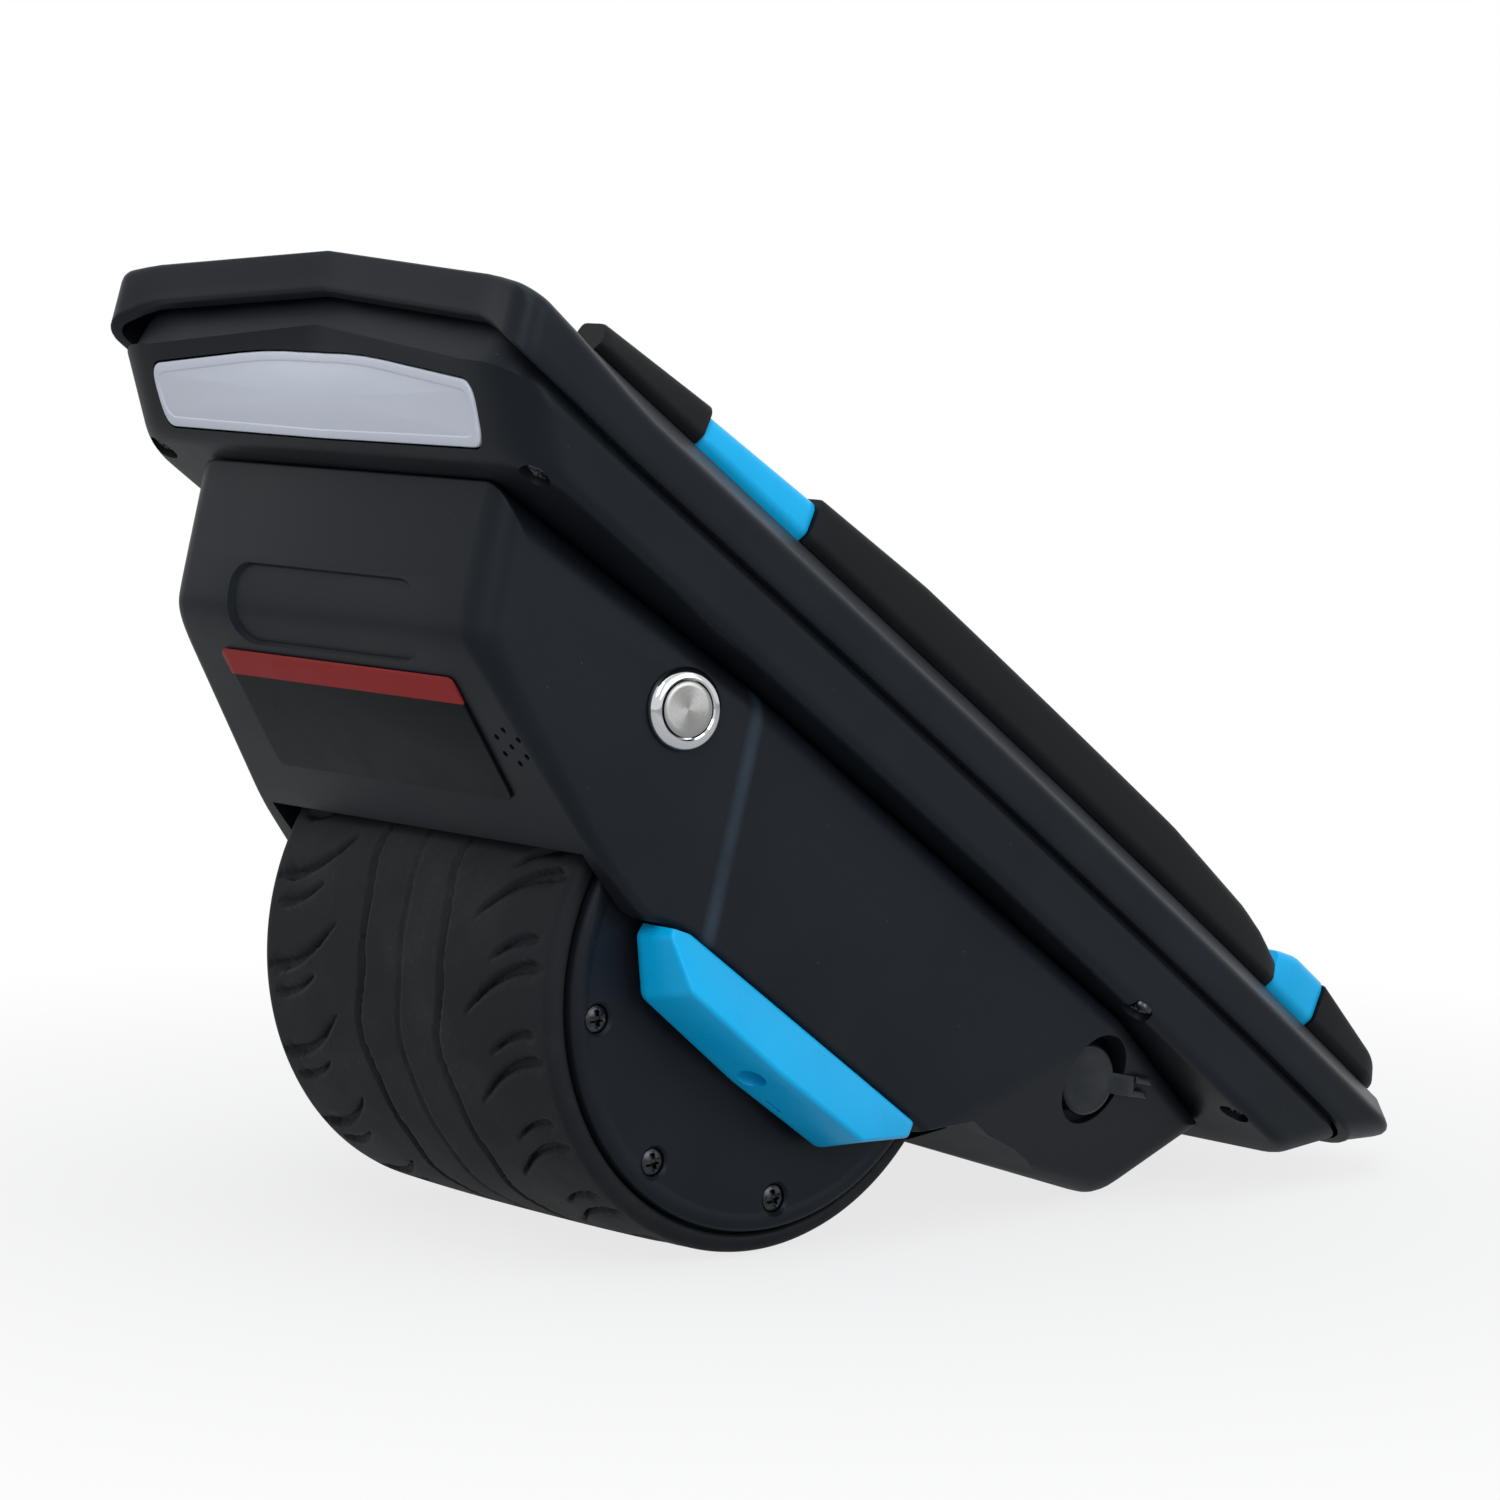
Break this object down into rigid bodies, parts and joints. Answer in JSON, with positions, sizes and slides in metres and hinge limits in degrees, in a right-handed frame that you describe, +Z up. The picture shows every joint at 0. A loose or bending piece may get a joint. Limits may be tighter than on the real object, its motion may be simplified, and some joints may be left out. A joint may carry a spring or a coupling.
{
  "type": "self balancing hoverboard",
  "caption": "Single-wheel self-balancing foot skate: padded deck over a wide hub-motor wheel, battery box behind, switch and charging port on its side, resting on its tail.",
  "frame": {"origin": "centre of the bounding box's base, on the floor the skate rests on", "axes": "+X towards the nose, +Y towards the rider's left, +Z up; the deck is tipped back in its rest pose"},
  "size_m": [0.2878, 0.154, 0.2193],
  "materials": {
    "soft_black_plastic": "fine satin texture",
    "tread_rubber": "matt",
    "black_rubber": "satin",
    "cyan_plastic": "glossy",
    "cast_aluminium": "as cast",
    "bright_steel": "ground",
    "dark_steel": "blackened",
    "copper_wire": "enamelled",
    "switch_chrome": "polished",
    "brushed_button": "radially brushed",
    "milky_lens": "milky, smooth",
    "circuit_board": "lacquered",
    "label_black": "smooth film",
    "battery_wrap": "shrink film"
  },
  "bodies": {
    "skate": {"axle": "bright_steel", "axle_clamp_left": "cast_aluminium", "axle_clamp_right": "cast_aluminium", "battery_pack": "battery_wrap", "buzzer": "soft_black_plastic", "charge_socket": "soft_black_plastic", "chassis_plate": "cast_aluminium", "deck_rim": "soft_black_plastic", "deck_tray": "soft_black_plastic", "fairing_screw_left": "dark_steel", "fairing_screw_right": "dark_steel", "front_accent_left": "cyan_plastic", "front_accent_right": "cyan_plastic", "front_rail_left": "black_rubber", "front_rail_right": "black_rubber", "gyro_board": "circuit_board", "headlight_board": "circuit_board", "headlight_lens": "milky_lens", "heel_lip": "black_rubber", "label_plate": "label_black", "lower_housing": "soft_black_plastic", "motor_controller": "cast_aluminium", "power_switch": "switch_chrome", "rear_accent_left": "cyan_plastic", "rear_accent_right": "cyan_plastic", "rear_rail_left": "black_rubber", "rear_rail_right": "black_rubber", "side_fairing_left": "cyan_plastic", "side_fairing_right": "cyan_plastic", "stator_core": "dark_steel", "stator_winding_left": "copper_wire", "stator_winding_right": "copper_wire"},
    "wheel": {"cover_screw_left_1": "dark_steel", "cover_screw_left_2": "dark_steel", "cover_screw_left_3": "dark_steel", "cover_screw_left_4": "dark_steel", "cover_screw_left_5": "dark_steel", "cover_screw_left_6": "dark_steel", "cover_screw_left_7": "dark_steel", "cover_screw_left_8": "dark_steel", "cover_screw_right_1": "dark_steel", "cover_screw_right_2": "dark_steel", "cover_screw_right_3": "dark_steel", "cover_screw_right_4": "dark_steel", "cover_screw_right_5": "dark_steel", "cover_screw_right_6": "dark_steel", "cover_screw_right_7": "dark_steel", "cover_screw_right_8": "dark_steel", "hub_cover_left": "soft_black_plastic", "hub_cover_right": "soft_black_plastic", "hub_shell": "cast_aluminium", "magnet_ring": "dark_steel", "tyre": "tread_rubber", "wheel_bearing_left": "bright_steel", "wheel_bearing_right": "bright_steel"},
    "foot_pad": {"foot_pad": "black_rubber", "foot_switch_front": "soft_black_plastic", "foot_switch_rear": "soft_black_plastic"},
    "power_button": {"power_button": "brushed_button"},
    "charge_cap": {"charge_cap": "black_rubber"}
  },
  "joints": [
    {"name": "wheel_spin", "type": "hinge", "parent": "skate", "child": "wheel", "pos_m": [0.05611, 0, 0.06], "axis": [0, 1, 0], "continuous": true},
    {"name": "button_press", "type": "slide", "parent": "skate", "child": "power_button", "axis": [-0.1264, -0.9914, -0.034], "range_m": [0, 0.0011], "stiffness_N_per_m": 1500, "springref_m": -0.0005},
    {"name": "charge_cap_swing", "type": "hinge", "parent": "skate", "child": "charge_cap", "pos_m": [-0.05661, 0.05978, 0.02736], "axis": [-0.1923, 0.3213, 0.9273], "range_deg": [0, 120]},
    {"name": "foot_pad_press", "type": "slide", "parent": "skate", "child": "foot_pad", "axis": [0.5852, 0, -0.8109], "range_m": [0, 0.0015], "stiffness_N_per_m": 8000, "springref_m": -0.0005}
  ]
}
